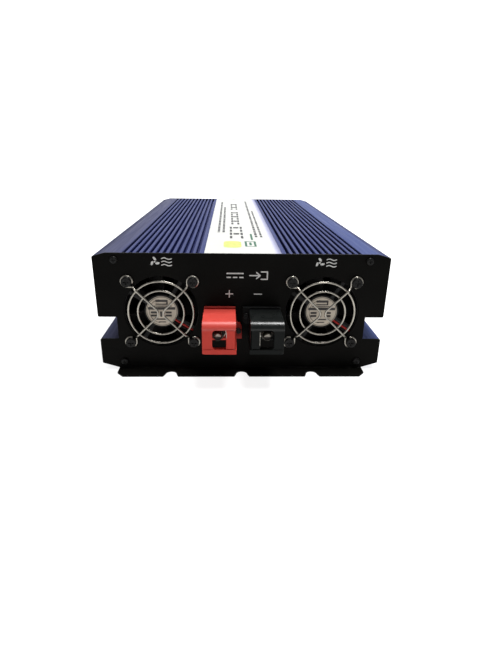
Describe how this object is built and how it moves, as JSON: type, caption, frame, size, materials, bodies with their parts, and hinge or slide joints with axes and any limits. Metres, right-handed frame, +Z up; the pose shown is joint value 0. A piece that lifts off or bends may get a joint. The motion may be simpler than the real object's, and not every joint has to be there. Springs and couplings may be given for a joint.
{
  "type": "power inverter",
  "caption": "Bench or vehicle power inverter: ribbed extruded housing, slotted end flanges, guarded fans and covered battery terminals in front, mains outlets and switch behind.",
  "frame": {"origin": "middle of the base of the overall box, at the underside of the mounting flanges", "axes": "+X to the right of someone facing the battery end, +Y towards the mains end, +Z up"},
  "size_m": [0.226, 0.4442, 0.0964],
  "materials": {
    "blue_anodised": "anodised satin",
    "white_film": "matt printed film",
    "black_powder_coat": "fine powder coat",
    "black_screw": "black oxide",
    "zinc_steel": "zinc plated",
    "brass": "machined",
    "white_plastic": "moulded",
    "red_plastic": "semi-gloss moulded",
    "black_gloss_plastic": "semi-gloss moulded",
    "nickel_steel": "nickel plated",
    "copper": "bare copper",
    "circuit_board": "solder mask",
    "capacitor_can": "sleeved can",
    "fuse_plastic": "moulded",
    "ferrite": "sintered",
    "winding": "taped winding",
    "chip_plastic": "moulded",
    "grey_plastic": "moulded",
    "lead_jacket": "insulated wire",
    "black_plastic": "moulded",
    "light_lens": "clear lens",
    "fan_sticker": "metallised film",
    "chrome_wire": "plated wire"
  },
  "bodies": {
    "inverter": {"ac_outlet_left": "grey_plastic", "ac_outlet_right": "grey_plastic", "board_screws": "zinc_steel", "board_standoffs": "brass", "bottom_shell": "blue_anodised", "bus_capacitors": "capacitor_can", "control_board": "circuit_board", "fan_left_frame": "black_plastic", "fan_left_guard": "chrome_wire", "fan_left_label": "fan_sticker", "fan_left_leads": "lead_jacket", "fan_left_stator": "copper", "fan_nuts": "zinc_steel", "fan_plugs": "white_plastic", "fan_right_frame": "black_plastic", "fan_right_guard": "chrome_wire", "fan_right_label": "fan_sticker", "fan_right_leads": "lead_jacket", "fan_right_stator": "copper", "fan_screws": "black_screw", "filter_capacitors": "fuse_plastic", "front_panel": "black_powder_coat", "ground_stud": "nickel_steel", "input_capacitors": "capacitor_can", "input_fuses": "fuse_plastic", "main_board": "circuit_board", "negative_bus_bar": "copper", "negative_stud": "nickel_steel", "negative_terminal_base": "black_gloss_plastic", "outlet_contacts": "brass", "outlet_leads": "lead_jacket", "outlet_screws": "black_screw", "output_inductor": "copper", "panel_screws": "black_screw", "positive_bus_bar": "copper", "positive_stud": "nickel_steel", "positive_terminal_base": "red_plastic", "power_switch_body": "black_plastic", "power_transistors": "chip_plastic", "rear_panel": "black_powder_coat", "status_lights": "light_lens", "stud_washers": "nickel_steel", "terminal_screws": "black_screw", "top_label": "white_film", "top_shell": "blue_anodised", "transformer_cores": "ferrite", "transformer_windings": "winding", "transistor_clamps": "zinc_steel"},
    "fan_left_rotor": {"fan_left_rotor": "black_plastic"},
    "fan_right_rotor": {"fan_right_rotor": "black_plastic"},
    "positive_cover": {"positive_terminal_cover": "red_plastic", "positive_flap_pin": "zinc_steel"},
    "negative_cover": {"negative_terminal_cover": "black_gloss_plastic", "negative_flap_pin": "zinc_steel"},
    "positive_flap": {"positive_cover_flap": "red_plastic"},
    "negative_flap": {"negative_cover_flap": "black_gloss_plastic"},
    "positive_nut": {"positive_stud_nut": "nickel_steel"},
    "negative_nut": {"negative_stud_nut": "nickel_steel"},
    "switch_rocker": {"power_switch_rocker": "black_gloss_plastic"},
    "ground_nut": {"ground_nut": "nickel_steel"}
  },
  "joints": [
    {"name": "fan_left_spin", "type": "hinge", "parent": "inverter", "child": "fan_left_rotor", "pos_m": [-0.0632, -0.1739, 0.04965], "axis": [0, 1, 0], "continuous": true},
    {"name": "fan_right_spin", "type": "hinge", "parent": "inverter", "child": "fan_right_rotor", "pos_m": [0.0632, -0.1739, 0.04965], "axis": [0, 1, 0], "continuous": true},
    {"name": "positive_cover_slide", "type": "slide", "parent": "inverter", "child": "positive_cover", "axis": [0, -1, 0], "range_m": [0, 0.04]},
    {"name": "positive_flap_hinge", "type": "hinge", "parent": "positive_cover", "child": "positive_flap", "pos_m": [-0.0066, -0.2207, 0.0405], "axis": [0, 0, 1], "range_deg": [0, 100]},
    {"name": "positive_nut_turn", "type": "hinge", "parent": "inverter", "child": "positive_nut", "pos_m": [-0.0187, -0.1999, 0.0377], "axis": [0, 1, 0], "continuous": true},
    {"name": "negative_cover_slide", "type": "slide", "parent": "inverter", "child": "negative_cover", "axis": [0, -1, 0], "range_m": [0, 0.04]},
    {"name": "negative_flap_hinge", "type": "hinge", "parent": "negative_cover", "child": "negative_flap", "pos_m": [0.0066, -0.2207, 0.0405], "axis": [0, 0, -1], "range_deg": [0, 100]},
    {"name": "negative_nut_turn", "type": "hinge", "parent": "inverter", "child": "negative_nut", "pos_m": [0.0187, -0.1999, 0.0377], "axis": [0, 1, 0], "continuous": true},
    {"name": "power_switch_rock", "type": "hinge", "parent": "inverter", "child": "switch_rocker", "pos_m": [0.066, 0.2066, 0.06], "axis": [1, 0, 0], "range_deg": [0, 16]},
    {"name": "ground_nut_turn", "type": "hinge", "parent": "inverter", "child": "ground_nut", "pos_m": [0.082, 0.2101, 0.016], "axis": [0, 1, 0], "continuous": true}
  ]
}
